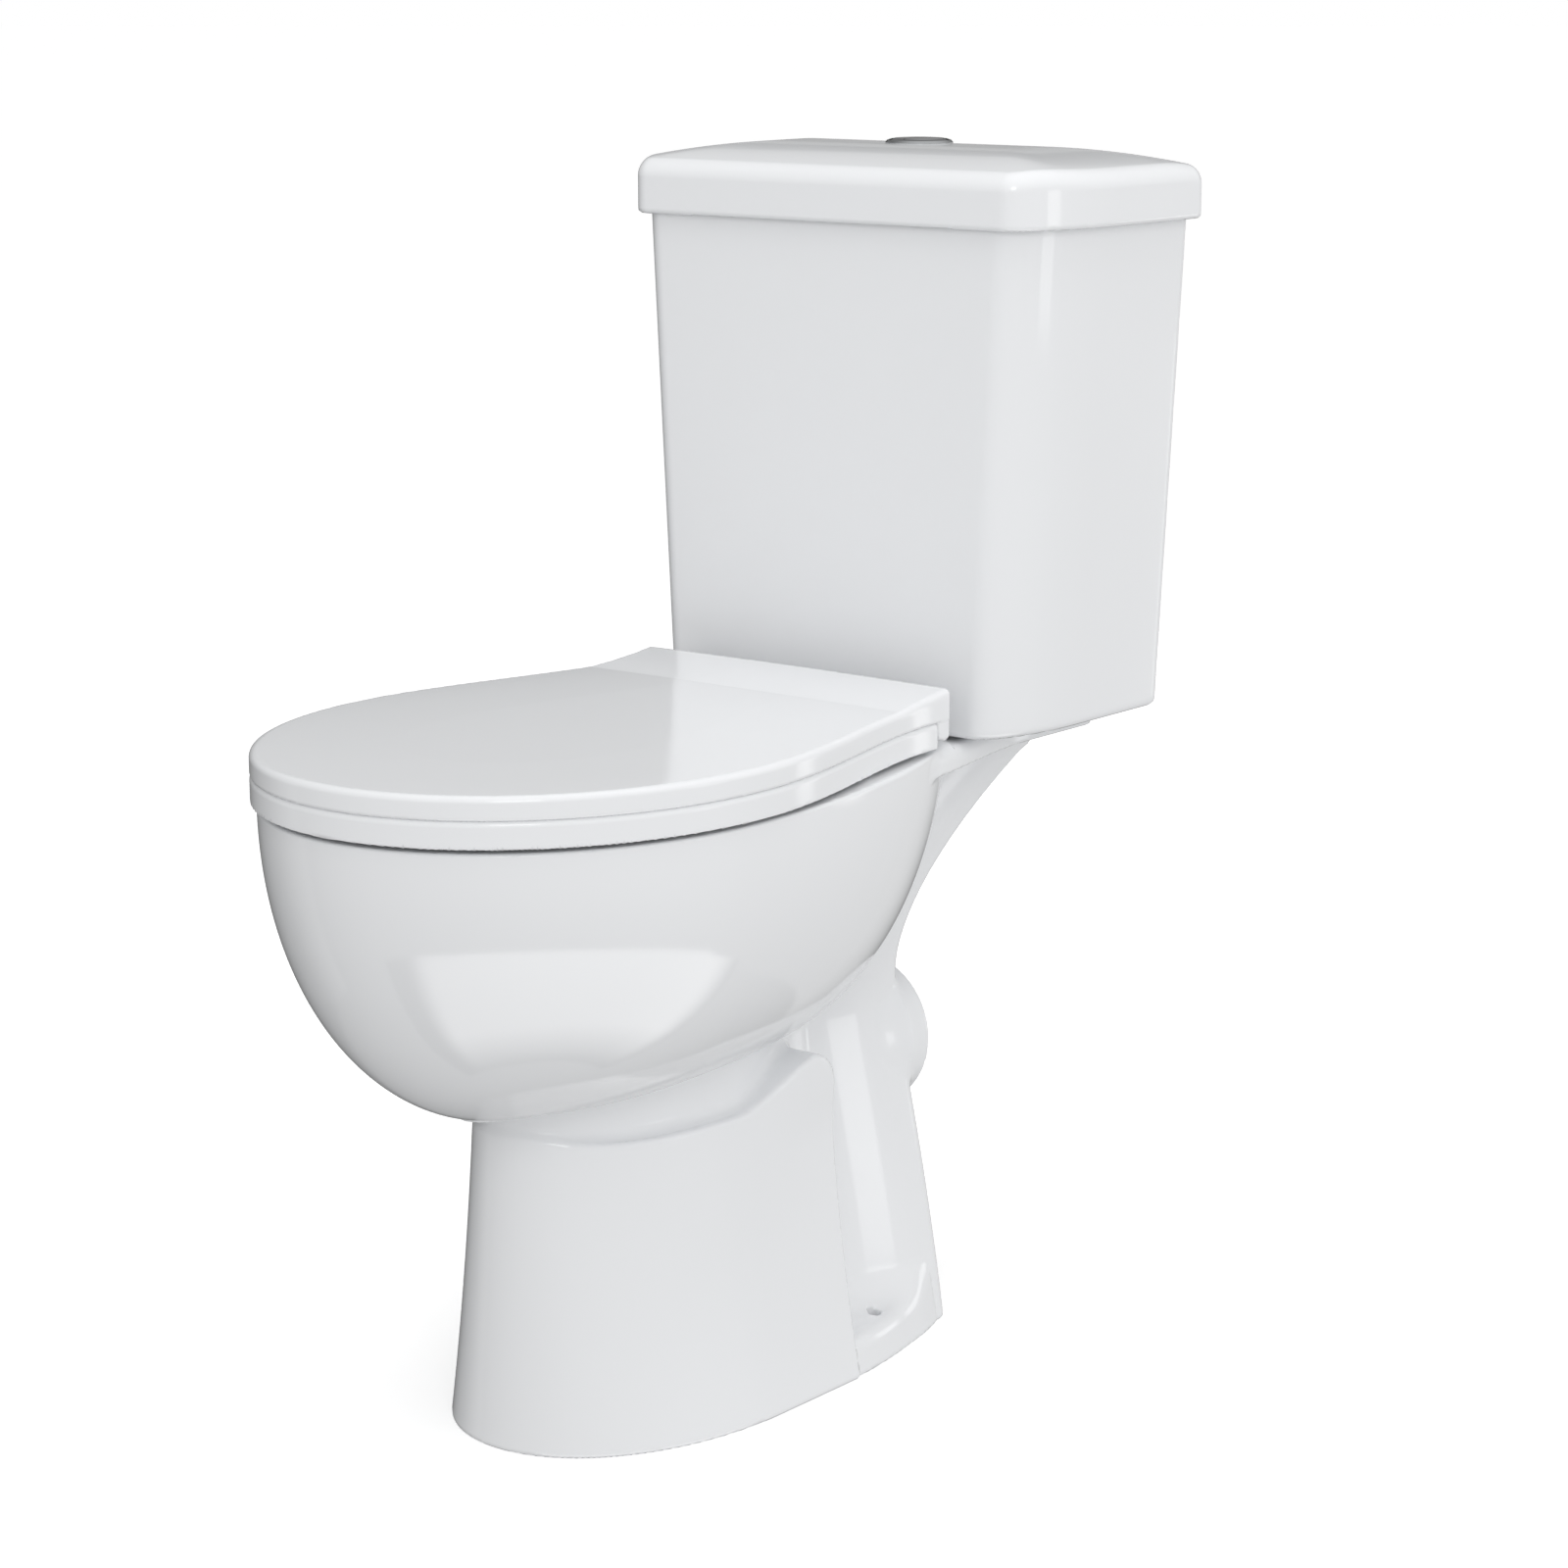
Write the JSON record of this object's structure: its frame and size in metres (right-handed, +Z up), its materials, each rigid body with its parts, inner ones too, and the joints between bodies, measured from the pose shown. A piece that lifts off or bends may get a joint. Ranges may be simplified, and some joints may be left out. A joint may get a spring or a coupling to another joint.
{
  "type": "close coupled toilet",
  "caption": "Close coupled washdown toilet: pedestal pan, hinged seat ring and cover, cistern with lift-off lid and dual flush push buttons.",
  "frame": {"origin": "on the floor under the middle of the whole toilet's bounding box", "axes": "+Z up, the front of the bowl faces -Y, the wall is behind at +Y, +X is on the right of a viewer who stands in front and looks at the wall"},
  "size_m": [0.346, 0.652, 0.7849],
  "materials": {
    "vitreous_china": "gloss white glaze",
    "seat_plastic": "gloss white",
    "bumper_plastic": "satin",
    "chrome": "polished",
    "black_rubber": "matt",
    "white_fitting": "satin",
    "blue_fitting": "satin",
    "steel": "zinc plated"
  },
  "bodies": {
    "pan_and_cistern": {"pan": "vitreous_china", "cistern": "vitreous_china", "hinge_posts": "chrome", "hinge_pins": "chrome", "hinge_bolts": "chrome", "hinge_sleeves": "black_rubber", "hinge_nuts": "chrome", "flush_valve_base": "white_fitting", "flush_valve_tower": "blue_fitting", "flush_valve_cap": "white_fitting", "flush_valve_washer": "black_rubber", "flush_valve_nut": "white_fitting", "coupling_gasket": "black_rubber", "coupling_plate": "steel", "coupling_bolts": "steel", "coupling_washers": "black_rubber", "coupling_nuts": "steel", "fill_valve_shank": "white_fitting", "fill_valve_head": "white_fitting", "fill_valve_washer": "black_rubber", "fill_valve_nut": "white_fitting", "refill_tube": "white_fitting"},
    "ring": {"seat_ring": "seat_plastic", "ring_bumpers": "bumper_plastic"},
    "cover": {"seat_cover": "seat_plastic", "cover_bumpers": "bumper_plastic"},
    "lid": {"cistern_lid": "vitreous_china", "button_bezel": "chrome", "button_housing": "white_fitting", "housing_nut": "white_fitting", "button_springs": "steel"},
    "half_button": {"half_flush_button": "chrome", "half_push_rod": "white_fitting"},
    "full_button": {"full_flush_button": "chrome", "full_push_rod": "white_fitting"},
    "flush_tube": {"overflow_tube": "white_fitting", "flush_seal": "black_rubber"},
    "float": {"fill_float": "blue_fitting", "float_link": "white_fitting"},
    "arm": {"float_arm": "white_fitting"}
  },
  "joints": [
    {"name": "ring_hinge", "type": "hinge", "parent": "pan_and_cistern", "child": "ring", "pos_m": [0, 0.103, 0.422], "axis": [-1, 0, 0], "range_deg": [0, 90]},
    {"name": "cover_hinge", "type": "hinge", "parent": "ring", "child": "cover", "pos_m": [0, 0.103, 0.422], "axis": [1, 0, 0], "range_deg": [-90, 0]},
    {"name": "lid_lift", "type": "slide", "parent": "pan_and_cistern", "child": "lid", "axis": [0, 0, 1], "range_m": [0, 0.14]},
    {"name": "half_button_press", "type": "slide", "parent": "lid", "child": "half_button", "axis": [0, 0, -1], "range_m": [0, 0.01], "stiffness_N_per_m": 250, "springref_m": -0.002},
    {"name": "full_button_press", "type": "slide", "parent": "lid", "child": "full_button", "axis": [0, 0, -1], "range_m": [0, 0.01], "stiffness_N_per_m": 250, "springref_m": -0.002},
    {"name": "flush_tube_lift", "type": "slide", "parent": "pan_and_cistern", "child": "flush_tube", "axis": [0, 0, 1], "range_m": [0, 0.03]},
    {"name": "float_drop", "type": "slide", "parent": "pan_and_cistern", "child": "float", "axis": [0, 0, -1], "range_m": [0, 0.012]},
    {"name": "arm_turn", "type": "hinge", "parent": "pan_and_cistern", "child": "arm", "pos_m": [-0.09, 0.241, 0.667], "axis": [0, 1, 0], "range_deg": [0, 28]}
  ],
  "couplings": [
    {"joint": "flush_tube_lift", "follows": "full_button_press", "ratio": 3},
    {"joint": "arm_turn", "follows": "float_drop", "rad_per_m": 40.7}
  ]
}
